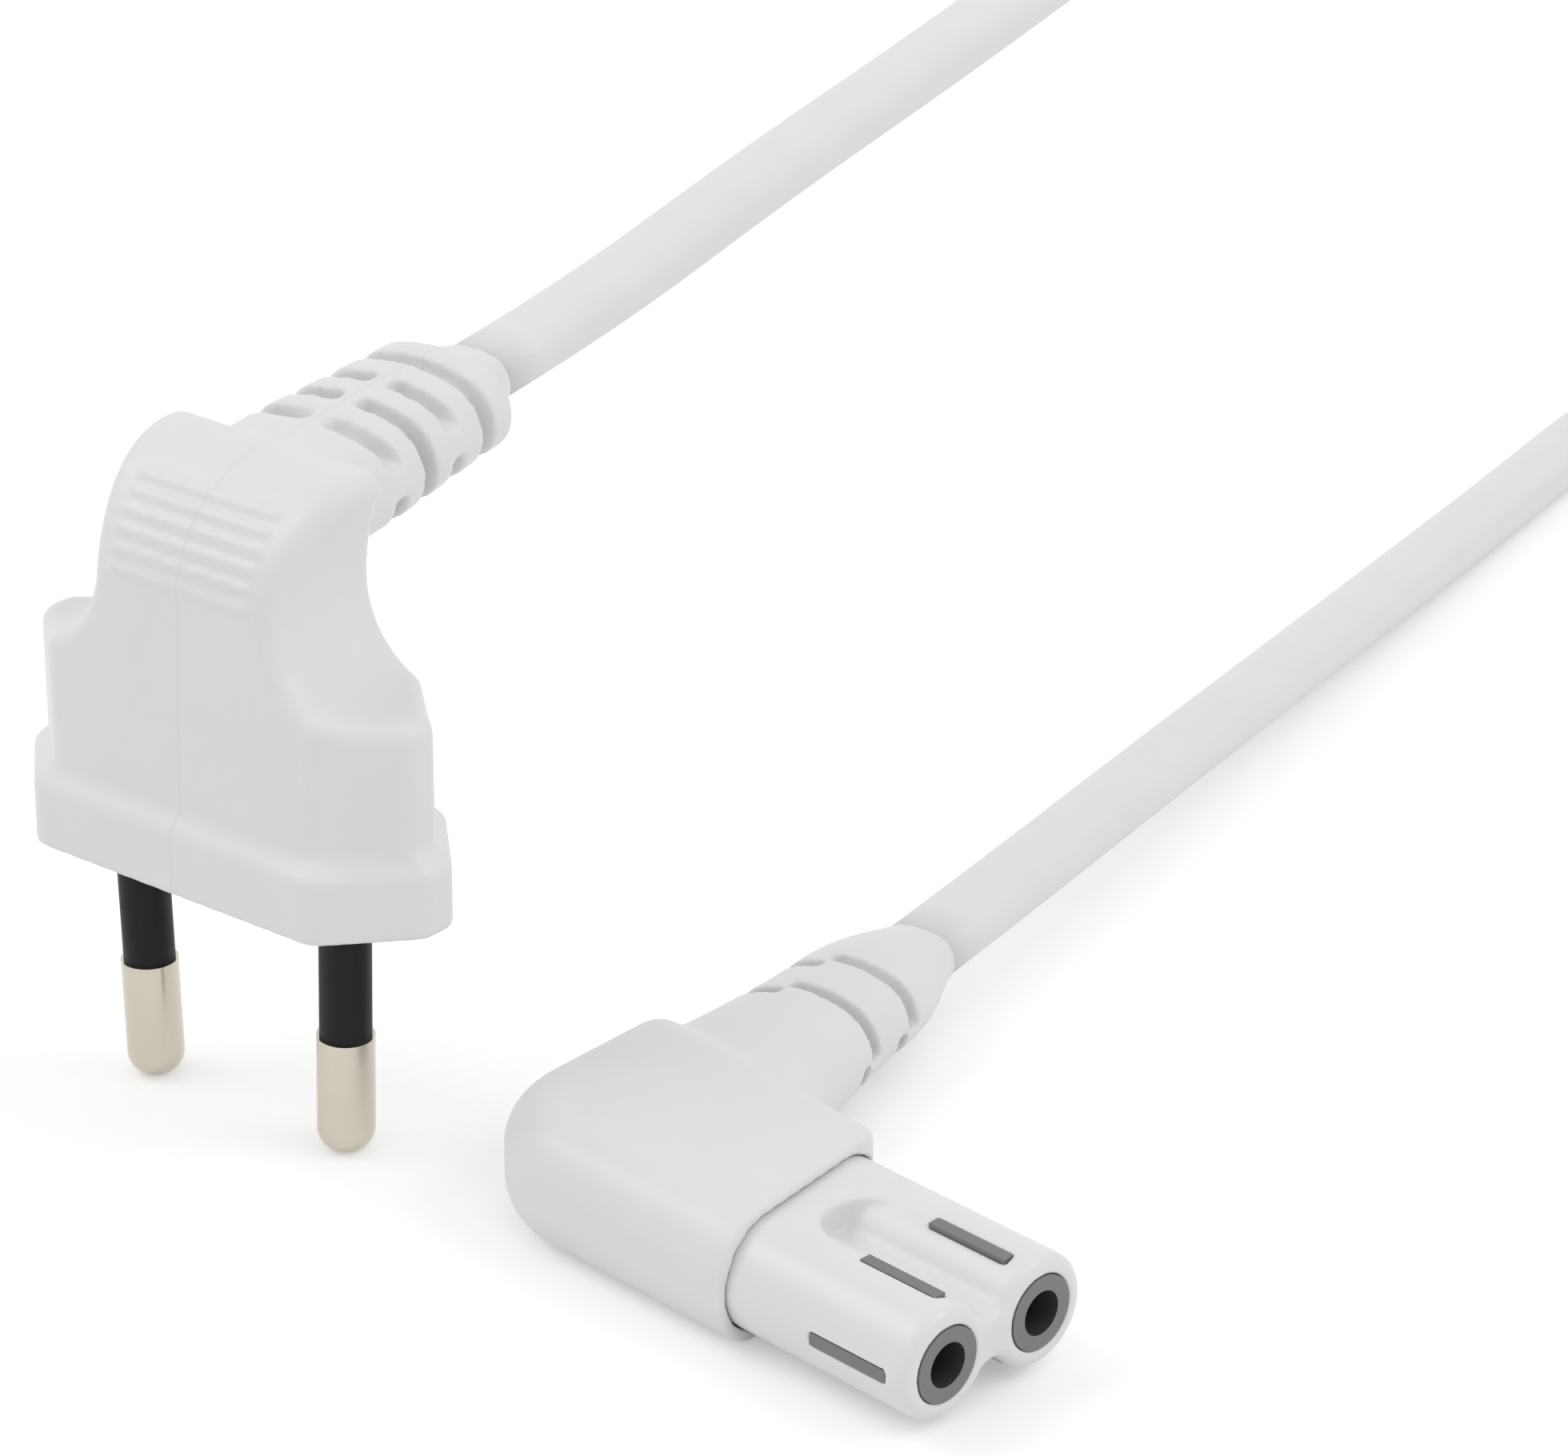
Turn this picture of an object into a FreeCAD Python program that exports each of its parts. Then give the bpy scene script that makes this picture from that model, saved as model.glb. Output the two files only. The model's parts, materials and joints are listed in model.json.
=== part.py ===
import FreeCAD, Part
import math
import os
import re
import Sketcher
from FreeCAD import Placement, Rotation, Vector

# A two core power lead, in millimetres. One end is an angled figure eight connector that lies
# on the surface, the other an angled flat two pin plug that stands on its pin tips. X is the
# way the connector pushes in, Y the way the cords leave, Z is up, and the origin is under the
# middle of the connector.

os.makedirs("parts", exist_ok=True)
doc = FreeCAD.newDocument("figure_eight_lead")

# Driving sizes. The connector is drawn with x = 0 at its socket face and its body at x < 0,
# the plug with z = 0 at its pin face and its cord towards +y. Angles are in degrees.
SIZES = {
    # clearance all round a piece that seats in another, and how far a tool runs past its cut
    "slip": 0.05,
    "overcut": 1.0,
    # figure eight nose of the connector
    "socket_pitch": 8.6,
    "barrel_radius": 3.9,
    "nose_waist": 1.7,
    "nose_length": 16.6,
    "nose_root": 4.4,
    "groove_length": 14.0,
    "groove_end_radius": 3.0,
    "nose_edge": 0.8,
    "window_start": 1.75,
    "window_length": 6.6,
    "window_width": 1.0,
    "window_inward": 1.15,
    "window_level": 3.55,
    "window_recess": 0.1,
    "window_root": 1.7,
    # insulating insert and contacts inside the nose
    "insert_radius": 2.6,
    "insert_hole": 1.55,
    "insert_lip": 2.5,
    "base_length": 2.6,
    "base_half": 7.4,
    "base_high": 3.1,
    "contact_radius": 1.7,
    "contact_bore": 1.2,
    "contact_length": 11.0,
    "contact_slit": 0.5,
    "slit_length": 8.8,
    "crimp_radius": 1.2,
    "crimp_length": 6.0,
    "crimp_neck": 0.8,
    # moulded body of the connector
    "body_length": 24.4,
    "body_left": 8.6,
    "body_right_front": 8.6,
    "body_right_back": 10.2,
    "body_half_height": 4.65,
    "body_back_corner": 8.5,
    "body_front_corner": 2.6,
    "body_rim": 3.6,
    "body_side_rim": 1.6,
    "body_front_rim": 0.35,
    "body_back_slant": 3.0,
    "step_slant": 8.0,
    "step_gap": 0.12,
    "step_gap_back": 18.8,
    # strain relief of the connector: ovals along its axis, by half width and half height
    "oval_roundness": 0.88,
    "relief_turn": 12.0,
    "relief_back": 33.65,
    "relief_start": 10.0,
    "relief_sunk": 2.5,
    "relief_sunk_half": 7.9,
    "relief_root": 0.8,
    "relief_root_half": 6.9,
    "relief_root_high": 4.3,
    "relief_middle": 7.5,
    "relief_middle_half": 5.75,
    "relief_middle_high": 3.95,
    "relief_waist": 13.7,
    "relief_waist_half": 5.25,
    "relief_waist_high": 3.55,
    "relief_shoulder": 19.0,
    "relief_shoulder_half": 4.75,
    "relief_shoulder_high": 3.15,
    "relief_collar": 21.6,
    "relief_collar_half": 3.9,
    "relief_collar_high": 2.75,
    "relief_end": 24.5,
    "relief_skin": 0.15,
    "slot_first": 8.8,
    "slot_pitch": 5.3,
    "slot_stagger": 1.3,
    "slot_width": 1.1,
    "slot_core_half": 3.6,
    "slot_core_high": 2.4,
    "slot_spine": 1.5,
    "slot_end": 0.4,
    "slot_far": 12.0,
    # flat two core cord
    "cord_width": 5.8,
    "cord_height": 3.7,
    "cord_lead": 12.0,
    "core_radius": 1.05,
    "conductor_radius": 0.5,
    "core_pitch": 2.5,
    # plug pins and sleeves
    "pin_pitch": 18.6,
    "pin_tip_pitch": 17.5,
    "pin_length": 19.0,
    "pin_radius": 2.0,
    "pin_metal": 8.7,
    "pin_neck": 1.5,
    "pin_tip_radius": 0.9,
    "pin_tip_taper": 1.5,
    "pin_tip_round": 1.7,
    "pin_collar": 2.8,
    "pin_collar_low": 3.4,
    "pin_collar_thick": 1.2,
    "pin_tail": 10.5,
    "sleeve_radius": 1.8,
    "sleeve_root": 1.4,
    # plug flange and body
    "flange_half_length": 17.7,
    "flange_front": 12.35,
    "flange_half_depth": 6.85,
    "flange_wall": 4.6,
    "flange_end": 1.3,
    "flange_round": 1.8,
    "bevel_high": 1.2,
    "bevel_inset": 1.25,
    "front_low": 5.75,
    "front_high": 5.12,
    "front_bow": 290.0,
    "back_depth": 5.5,
    "side_depth": 5.8,
    "scoop_radius": 6.4,
    "neck_half": 7.8,
    "neck_level": 21.2,
    "head_half": 10.3,
    "head_lip": 29.6,
    "head_top": 29.1,
    "head_edge": 1.2,
    "wing_front": 11.3,
    "wing_end": 1.2,
    "wing_edge": 1.5,
    "crown_front": 3.4,
    "crown_radius": 9.3,
    # strain relief of the plug
    "barrel_rise": 6.0,
    "barrel_axis": 24.6,
    "barrel_start": 1.0,
    "barrel_half": 7.0,
    "barrel_high": 3.8,
    "barrel_end": 20.4,
    "barrel_end_half": 6.1,
    "barrel_end_high": 3.6,
    "collar_start": 21.8,
    "collar_end": 22.6,
    "collar_half": 5.4,
    "collar_high": 3.1,
    "flare_middle": 23.8,
    "flare_half": 3.9,
    "flare_high": 2.4,
    "flare_end": 25.5,
    "rib_slot_first": 9.6,
    "rib_slot_pitch": 3.2,
    "rib_slot_width": 1.25,
    "rib_core_half": 4.4,
    "rib_core_high": 2.4,
    "rib_ring": 19.4,
    "rib_spine": 0.8,
    "rib_bridge_low": 0.6,
    "rib_bridge_high": 1.4,
    "grip_rib_pitch": 1.31,
    "grip_rib_length": 12.0,
    "grip_rib_radius": 0.35,
    "grip_first": 0.6,
    # how the cores spread inside the plug
    "core_turn": 3.0,
    "core_spread": 4.2,
    "core_level": 17.5,
    "core_back": 0.3,
    "core_drop": 2.5,
    # bridge that holds the pins inside the plug
    "bridge_half": 13.0,
    "bridge_depth": 3.6,
    "bridge_low": 2.2,
    "bridge_thick": 4.0,
    # where the plug stands from the socket face, and how it is turned and leant
    "plug_x": -61.8,
    "plug_y": -8.4,
    "plug_yaw": 7.2,
    "plug_lean": 0.51,
    # coil of the cord that is put away, and its tie
    "coil_middle": 33.9,
    "coil_wide": 12.0,
    "coil_high": 15.0,
    "coil_edge": 1.6,
    "tie_wide": 9.0,
    "tie_thick": 0.6,
}
GRIP_RIBS = 6

sheet = doc.addObject("Spreadsheet::Sheet", "Sizes")
for row, (name, number) in enumerate(SIZES.items(), 1):
    sheet.set(f"A{row}", name)
    sheet.set(f"B{row}", str(number))
    sheet.setAlias(f"B{row}", name)
doc.recompute()


def linked(text):
    """Returns an expression in which each size's name points at its cell of the sheet."""
    return re.sub(r"[a-z_]+", lambda found: "Sizes." + found.group(0)
                  if found.group(0) in SIZES else found.group(0), text)


def value(text):
    """Returns what an expression of the sheet's sizes comes to."""
    return float(sheet.evalExpression(linked(text)))


def bind(thing, **expressions):
    """Ties properties of an object to expressions of the sheet's sizes."""
    for name, text in expressions.items():
        thing.setExpression(name, linked(text))
    return thing


# Each arc of a route takes this share of the shorter run beside it.
ARC_SHARE = 0.45
# Two faces that meet at more than this angle, in degrees, have an edge to round.
CREASE = 16

# The planes that outlines are drawn on: seen from above, from in front and from the side.
FLOOR = Rotation()
FRONT = Rotation(Vector(1, 0, 0), 90)
SIDE = Rotation(Vector(1, 1, 1), 120)


def outline(name, turn, corners, base=(0, 0, 0)):
    """Draws a closed outline, anticlockwise. Two sizes pin each corner, and a third value is
    the radius of the arc that leads on to the next corner, negative where it curves inwards."""
    sketch = doc.addObject("Sketcher::SketchObject", name)
    sketch.Placement = Placement(Vector(*base), turn)
    spots = [Vector(value(corner[0]), value(corner[1]), 0) for corner in corners]
    ends = []
    for index, corner in enumerate(corners):
        start, end = spots[index], spots[(index + 1) % len(corners)]
        if len(corner) == 2:
            ends.append((sketch.addGeometry(Part.LineSegment(start, end)), 1, 2))
            continue
        radius = value(corner[2])
        chord = end - start
        reach = math.sqrt(max(radius ** 2 - (chord.Length / 2) ** 2, 0))
        left = Vector(-chord.y, chord.x, 0).normalize()
        centre = (start + end) * 0.5 + left * math.copysign(reach, radius)
        first, last = (start, end) if radius > 0 else (end, start)
        angles = [math.atan2(spot.y - centre.y, spot.x - centre.x) for spot in (first, last)]
        if angles[1] < angles[0]:
            angles[1] += 2 * math.pi
        circle = Part.Circle(centre, Vector(0, 0, 1), abs(radius))
        edge = sketch.addGeometry(Part.ArcOfCircle(circle, *angles))
        ends.append((edge, 1, 2) if radius > 0 else (edge, 2, 1))
    for index, corner in enumerate(corners):
        edge, start, end = ends[index]
        onward = ends[(index + 1) % len(ends)]
        sketch.addConstraint(Sketcher.Constraint("Coincident", edge, end, onward[0], onward[1]))
        for kind, line, text in (("DistanceX", -2, corner[0]), ("DistanceY", -1, corner[1])):
            if text == "0":
                sketch.addConstraint(Sketcher.Constraint("PointOnObject", edge, start, line))
                continue
            pin = sketch.addConstraint(
                Sketcher.Constraint(kind, -1, 1, edge, start, value(text)))
            sketch.setExpression(f"Constraints[{pin}]", linked(text))
        if len(corner) == 3:
            bend = sketch.addConstraint(
                Sketcher.Constraint("Radius", edge, abs(value(corner[2]))))
            sketch.setExpression(f"Constraints[{bend}]", linked(f"abs({corner[2]})"))
    return sketch


def extruded(name, sketch, length, both_ways=False):
    """Pushes an outline along its normal into a solid."""
    solid = doc.addObject("Part::Extrusion", name)
    solid.Base = sketch
    solid.DirMode = "Normal"
    solid.Solid = True
    solid.Symmetric = both_ways
    return bind(solid, LengthFwd=length)


def turned(name, sketch, axis):
    """Turns a half section all the way round an axis through the origin."""
    solid = doc.addObject("Part::Revolution", name)
    solid.Source = sketch
    solid.Axis = axis
    solid.Angle = 360
    solid.Solid = True
    return solid


def joined(name, things):
    solid = doc.addObject("Part::MultiFuse", name)
    solid.Shapes = things
    solid.Refine = True
    return solid


def shared(name, things):
    solid = doc.addObject("Part::MultiCommon", name)
    solid.Shapes = things
    return solid


def cut(name, base, tool):
    solid = doc.addObject("Part::Cut", name)
    solid.Base = base
    solid.Tool = tool
    return solid


def cut_all(name, base, tools):
    """Cuts several tools away, one after another."""
    for index, tool in enumerate(tools):
        last = index == len(tools) - 1
        base = cut(name if last else f"{name}_step_{index + 1}", base, tool)
    return base


def box(name, corner, sizes, place=Placement()):
    """Makes a block from its lowest corner and its three sizes, all expressions."""
    block = bind(doc.addObject("Part::Box", name),
                 Length=sizes[0], Width=sizes[1], Height=sizes[2])
    block.Placement = place.multiply(Placement(Vector(*map(value, corner)), Rotation()))
    return block


def rod(name, centre, turn, radius, length):
    """Makes a round rod from the centre of one end, along the turned Z."""
    bar = bind(doc.addObject("Part::Cylinder", name), Radius=radius, Height=length)
    bar.Placement = Placement(Vector(*map(value, centre)), turn)
    return bar


def rounded(name, base, radius, choose):
    """Rounds the edges of a solid that a test chooses. The radius is an expression, or a
    function that gives one for each end point of an edge."""
    doc.recompute()
    at = radius if callable(radius) else lambda point: radius
    solid = doc.addObject("Part::Fillet", name)
    solid.Base = base
    solid.Edges = [(index, value(at(edge.Vertexes[0].Point)), value(at(edge.Vertexes[-1].Point)))
                   for index, edge in enumerate(base.Shape.Edges, 1) if choose(edge)]
    return solid


def creased(shape, edge):
    """Tells an edge where two faces meet at more than a slight angle."""
    middle = edge.valueAt((edge.FirstParameter + edge.LastParameter) / 2)
    sides = [face for face in shape.Faces if any(edge.isSame(other) for other in face.Edges)]
    normals = [face.normalAt(*face.Surface.parameter(middle)) for face in sides]
    return len(normals) == 2 and math.degrees(normals[0].getAngle(normals[1])) > CREASE


def near(first, second, reach=0.02):
    return abs(first - second) < reach


def oval(half, high):
    """Corners of an oval that is flat above and below: two side arcs and two crown arcs that
    meet them smoothly."""
    side = f"({high} * oval_roundness)"
    crown = f"((({half} - {side})^2 + {high}^2 - {side}^2) / (2 * ({high} - {side})))"
    across = f"(({half} - {side}) * {crown} / ({crown} - {side}))"
    up = f"(({crown} - {high}) * {side} / ({crown} - {side}))"
    return [(across, f"-{up}", side), (half, "0", side), (across, up, crown),
            (f"-{across}", up, side), (f"-{half}", "0", side), (f"-{across}", f"-{up}", crown)]


def stadium(half, high):
    """Corners of a flat bar with round ends."""
    flat = f"({half} - {high})"
    return [(flat, f"-{high}", high), (half, "0", high), (flat, high),
            (f"-{flat}", high, high), (f"-{half}", "0", high), (f"-{flat}", f"-{high}")]


def swept(name, points, profile, lead=0, tail=0):
    """Carries a section along straight runs joined by tangent arcs. Each arc takes ARC_SHARE
    of the shorter run beside it, and the path may start a lead before the first point and end
    a tail after the last. Returns the object, the length of the path and the arcs' radii."""
    ahead = (points[1] - points[0]).normalize()
    edges, radii, start = [], [], points[0] - ahead * lead
    section = profile.copy()
    across = Vector(0, 0, 1).cross(ahead).normalize()
    section.Placement = Placement(start, Rotation(across, ahead.cross(across), ahead, "ZXY"))
    for before, corner, after in zip(points, points[1:], points[2:]):
        arriving, leaving = corner - before, after - corner
        turn = arriving.getAngle(leaving)
        trim = ARC_SHARE * min(arriving.Length, leaving.Length)
        radii.append(trim / math.tan(turn / 2))
        arriving.normalize()
        leaving.normalize()
        first, last = corner - arriving * trim, corner + leaving * trim
        inwards = (leaving - arriving).normalize()
        middle = corner + inwards * (math.hypot(trim, radii[-1]) - radii[-1])
        edges.append(Part.LineSegment(start, first).toShape())
        edges.append(Part.Arc(first, middle, last).toShape())
        start = last
    end = points[-1] + (points[-1] - points[-2]).normalize() * tail
    edges.append(Part.LineSegment(start, end).toShape())
    path = Part.Wire(edges)
    pipe = Part.BRepOffsetAPI.MakePipeShell(path)
    pipe.setTransitionMode(1)
    pipe.add(section)
    pipe.build()
    pipe.makeSolid()
    solid = doc.addObject("Part::Feature", name)
    solid.Shape = pipe.shape()
    return solid, path.Length, radii


# The connector's nose. Each barrel's wall has windows above, below and at its outer side.
HALF_PITCH = "(socket_pitch / 2)"
VALLEY = ("((nose_waist^2 + (socket_pitch / 2)^2 - barrel_radius^2)"
          " / (2 * (barrel_radius - nose_waist)))")
LEAST = f"({HALF_PITCH} * {VALLEY} / (barrel_radius + {VALLEY}))"
RISE = f"((nose_waist + {VALLEY}) * barrel_radius / (barrel_radius + {VALLEY}))"
TIP = f"({HALF_PITCH} + barrel_radius)"
NOSE_BACK = "-(nose_length + nose_root)"


def eight(name):
    """Draws the figure eight seen along X, with two barrels and a valley above and below."""
    return outline(name, SIDE, [
        (LEAST, f"-{RISE}", "barrel_radius"), (TIP, "0", "barrel_radius"),
        (LEAST, RISE, f"-{VALLEY}"), (f"-{LEAST}", RISE, "barrel_radius"),
        (f"-{TIP}", "0", "barrel_radius"), (f"-{LEAST}", f"-{RISE}", f"-{VALLEY}")],
        (value(NOSE_BACK), 0, 0))


def along_x(name, y, radius, start, length):
    """Makes a rod along X at a socket's place, from its back end."""
    return rod(name, (start, y, "0"), SIDE, radius, length)


def windows(name, side, width, length, start, top, out):
    """Makes one barrel's three bars: up and down, a little inward of its axis, and outward.
    Up and down they reach to the top, outward they reach out from the barrel's axis."""
    bars = []
    for index, (angle, inward, reach) in enumerate(((90, "window_inward", top),
                                                    (-90, "window_inward", top),
                                                    (90 - side * 90, "0", out))):
        y = side * value(f"{HALF_PITCH} - {inward}")
        place = Placement(Vector(0, y, 0), Rotation(Vector(1, 0, 0), angle))
        bars.append(box(f"{name}_bar_{index}",
                        (f"-({start} + {length})", "window_root", f"-{width} / 2"),
                        (length, f"{reach} - window_root", width), place))
    return joined(name, bars)


figure = extruded("nose_figure", eight("nose_outline"), "nose_length + nose_root")
figure = rounded("nose_rounded", figure, "nose_edge",
                 lambda edge: near(edge.BoundBox.XMin, 0) and near(edge.BoundBox.XMax, 0))
stadium_sketch = outline("nose_back_outline", SIDE, stadium(TIP, "barrel_radius"),
                         (value(NOSE_BACK), 0, 0))
block = extruded("nose_back", stadium_sketch,
                 "nose_root + nose_length - groove_length + groove_end_radius")
scoop = rod("groove_end", ("groove_end_radius - groove_length", "0",
                           "-barrel_radius - overcut"), FLOOR,
            "groove_end_radius", "(barrel_radius + overcut) * 2")
block = cut("nose_back_scooped", block, scoop)
nose_solid = joined("nose_solid", [figure, block])
bores = [along_x(f"nose_bore_{side}", f"{HALF_PITCH} * {side}", "insert_radius + slip",
                 f"{NOSE_BACK} - overcut", "nose_length + nose_root + overcut * 2") for side in (-1, 1)]
openings = [windows(f"nose_windows_{side}", side, "window_width", "window_length",
                    "window_start", "(barrel_radius + overcut)", "(barrel_radius + overcut)")
            for side in (-1, 1)]
nose_shell = cut_all("connector_nose_shell", nose_solid, bores + openings)

# The grey insert: two tubes whose bars fill the windows, on one base behind the nose.
BASE_BACK = f"({NOSE_BACK} - base_length)"
tubes = [along_x(f"insert_tube_{side}", f"{HALF_PITCH} * {side}", "insert_radius",
                 f"{NOSE_BACK} - base_length / 2", "nose_length + nose_root + base_length / 2")
         for side in (-1, 1)]
bars = [windows(f"insert_windows_{side}", side, "(window_width - slip * 2)",
                "(window_length - slip * 2)", "(window_start + slip)",
                "window_level", "(barrel_radius - window_recess)") for side in (-1, 1)]
base_sketch = outline("insert_base_outline", SIDE, stadium("base_half", "base_high"),
                      (value(BASE_BACK), 0, 0))
base = extruded("insert_base", base_sketch, "base_length")
mouths = [along_x(f"insert_mouth_{side}", f"{HALF_PITCH} * {side}", "insert_hole",
                  "-insert_lip - overcut", "insert_lip + overcut * 2") for side in (-1, 1)]
wells = [along_x(f"insert_well_{side}", f"{HALF_PITCH} * {side}", "contact_radius + slip",
                 f"{BASE_BACK} - overcut", f"-insert_lip - {BASE_BACK} + overcut") for side in (-1, 1)]
insert = cut_all("connector_insert", joined("insert_solid", tubes + bars + [base]),
                 mouths + wells)

# Contacts: a slit spring tube, a neck and a barrel crimped on the core.
CONTACT_BACK = "(contact_length + crimp_neck + crimp_length)"


def contact(name, side):
    """Makes one contact, turned from its half section, with a slit in its spring tube."""
    profile = outline(f"{name}_profile", FLOOR, [
        (f"-{CONTACT_BACK}", "core_radius + slip"),
        ("-contact_length - crimp_neck - crimp_length / 2", "core_radius + slip"),
        ("-contact_length - crimp_neck - crimp_length / 2", "conductor_radius + slip"),
        ("-contact_length - crimp_neck", "conductor_radius + slip"),
        ("-contact_length - crimp_neck", "0"), ("-contact_length + crimp_neck", "0"),
        ("-contact_length + crimp_neck", "contact_bore"), ("0", "contact_bore"),
        ("0", "contact_radius"),
        ("-contact_length", "contact_radius"), ("-contact_length", "crimp_radius"),
        ("-contact_length - crimp_neck - crimp_length / 2", "crimp_radius"),
        ("-contact_length - crimp_neck - crimp_length / 2", "contact_radius"),
        (f"-{CONTACT_BACK}", "contact_radius")][::-1])
    solid = turned(f"{name}_turned", profile, Vector(1, 0, 0))
    slit = box(f"{name}_slit", ("-slit_length", "-contact_slit / 2", "0"),
               ("slit_length + overcut", "contact_slit", "contact_radius + overcut"))
    solid = cut(name, solid, slit)
    solid.Placement = Placement(Vector(-value("insert_lip + slip"),
                                       side * value(HALF_PITCH), 0), Rotation())
    return solid


contacts = [contact("contact_sleeve_left", -1), contact("contact_sleeve_right", 1)]

# The connector's body and strain relief, moulded in one piece over the nose and the cores.
BODY_BACK = "(nose_length + body_length)"
plan = outline("body_plan", FLOOR, [
    ("tan(step_slant) * body_left - nose_length", "-body_left"),
    ("-tan(step_slant) * body_right_front - nose_length", "body_right_front"),
    (f"-{BODY_BACK} - tan(body_back_slant) * body_right_back", "body_right_back"),
    (f"-{BODY_BACK} + tan(body_back_slant) * body_left", "-body_left")])
body = extruded("body_block", plan, "body_half_height * 2", True)
high = value("body_half_height")
middle = value("nose_length + body_length / 2")


def upright(edge):
    return edge.BoundBox.ZLength > high


def level(edge):
    return edge.BoundBox.ZLength < 0.01 and abs(edge.BoundBox.ZMax) > high - 0.01


def at_front(edge):
    return edge.BoundBox.XMin > -value("nose_length + body_front_corner")


def on_right(edge):
    """Tells an edge of the right side, whose front end is a round corner."""
    return edge.BoundBox.YMin > value("body_right_front - body_front_corner")


body = rounded("body_corner", body, "body_back_corner", lambda edge: upright(edge)
               and edge.BoundBox.XMax < -middle and edge.BoundBox.YMax < 0)
body = rounded("body_front", body, "body_front_corner", lambda edge: upright(edge)
               and edge.BoundBox.XMin > -middle and edge.BoundBox.YMax > 0)
body = rounded("body_rims", body, "body_rim",
               lambda edge: level(edge) and not on_right(edge) and not at_front(edge))
body = rounded("body_lip", body,
               lambda point: "body_side_rim"
               if point.x < -value("nose_length + body_front_corner") else "body_front_rim",
               lambda edge: on_right(edge)
               and not (upright(edge) and edge.BoundBox.XMin > -middle)
               or level(edge) and at_front(edge))

RELIEF = Placement(Vector(-value("relief_back"), value("relief_start"), 0),
                   Rotation(Vector(0, 0, 1), value("relief_turn")))


def relief_oval(name, reach, half, high):
    """Draws an oval across the relief's axis, a reach along it."""
    sketch = outline(name, FRONT, oval(half, high))
    sketch.Placement = RELIEF.multiply(Placement(Vector(0, value(reach), 0), FRONT))
    return sketch


relief = doc.addObject("Part::Loft", "relief")
relief.Sections = [
    relief_oval("relief_oval_0", "-relief_sunk", "relief_sunk_half", "relief_root_high"),
    relief_oval("relief_oval_1", "relief_root", "relief_root_half", "relief_root_high"),
    relief_oval("relief_oval_2", "relief_middle", "relief_middle_half", "relief_middle_high"),
    relief_oval("relief_oval_3", "relief_waist", "relief_waist_half", "relief_waist_high"),
    relief_oval("relief_oval_4", "relief_shoulder", "relief_shoulder_half",
                "relief_shoulder_high"),
    relief_oval("relief_oval_5", "relief_collar", "relief_collar_half", "relief_collar_high"),
    relief_oval("relief_oval_6", "relief_end", "cord_width / 2 + relief_skin",
                "cord_height / 2 + relief_skin")]
relief.Solid = True
overmould = joined("connector_moulding", [body, relief])


def slots(name, place, core, width, rows):
    """Makes the tools of a relief's slots, which stop at one core. Each row is its reach
    along the relief and the boxes of the cross section that it opens: two sides, two heights."""
    tools = []
    for index, (reach, boxes) in enumerate(rows):
        for number, (start, end, low, top) in enumerate(boxes):
            tools.append(box(f"{name}_{index}_{number}", (start, f"{reach} - {width} / 2", low),
                             (f"{end} - {start}", width, f"{top} - {low}"), place))
    core_rod = extruded(f"{name}_core", core, "slot_far * 8", True)
    return cut(name, joined(f"{name}_rows", tools), core_rod)


# The short slots lie between the long ones, which go over the front side and, upside down,
# under the back side.
relief_core = outline("relief_core", FRONT, oval("slot_core_half", "slot_core_high"))
relief_core.Placement = RELIEF.multiply(relief_core.Placement)
short = [("-slot_far", "-slot_spine", "slot_end", "slot_far"),
         ("slot_spine", "slot_far", "-slot_far", "-slot_end")]
long = [("-slot_spine", "slot_far", "-slot_end", "slot_far"),
        ("-slot_far", "slot_spine", "-slot_far", "slot_end")]
relief_slots = slots("relief_slots", RELIEF, relief_core, "slot_width", [
    ("slot_first", short), ("(slot_first + slot_stagger)", long),
    ("(slot_first + slot_pitch)", short), ("(slot_first + slot_pitch + slot_stagger)", long)])

# Cores and conductors run from the crimps round one bend each, side by side into the relief.
CRIMP = "(insert_lip + slip + contact_length + crimp_neck)"
ALONG = RELIEF.Rotation.multVec(Vector(0, 1, 0))
ASIDE = RELIEF.Rotation.multVec(Vector(1, 0, 0))
RELIEF_END = RELIEF.multVec(Vector(0, value("relief_end"), 0))


def core_route(side):
    """Returns a core's points: out of its crimp, the bend and the relief's end."""
    start, y = f"({CRIMP} + crimp_length / 2 + slip)", side * value(HALF_PITCH)
    end = RELIEF_END + ASIDE * (side * value("core_pitch / 2"))
    bend = end + ALONG * ((y - end.y) / ALONG.y)
    return [Vector(-value(start), y, 0), bend, end]


def circle(radius):
    return Part.Wire(Part.Circle(Vector(), Vector(0, 0, 1), value(radius)).toShape())


def insulated(name, points, **bared):
    """Makes a core's insulation and its conductor, and a tool for the passage round both. The
    conductor runs on past the insulation by the lead or tail that is bared."""
    passage = swept(f"{name}_passage", points, circle("core_radius + slip"))[0]
    outside = swept(f"{name}_outside", points, circle("core_radius"))[0]
    inside = swept(f"{name}_inside", points, circle("conductor_radius + slip"))[0]
    wire = swept(name.replace("core", "conductor"), points, circle("conductor_radius"),
                 **bared)[0]
    return cut(name, outside, inside), wire, passage


cores, wires, passages = [], [], []
for side, label in ((-1, "left"), (1, "right")):
    core, wire, passage = insulated(f"connector_core_{label}", core_route(side),
                                    lead=value("crimp_length / 2"))
    cores.append(core)
    wires.append(wire)
    passages.append(passage)

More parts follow.
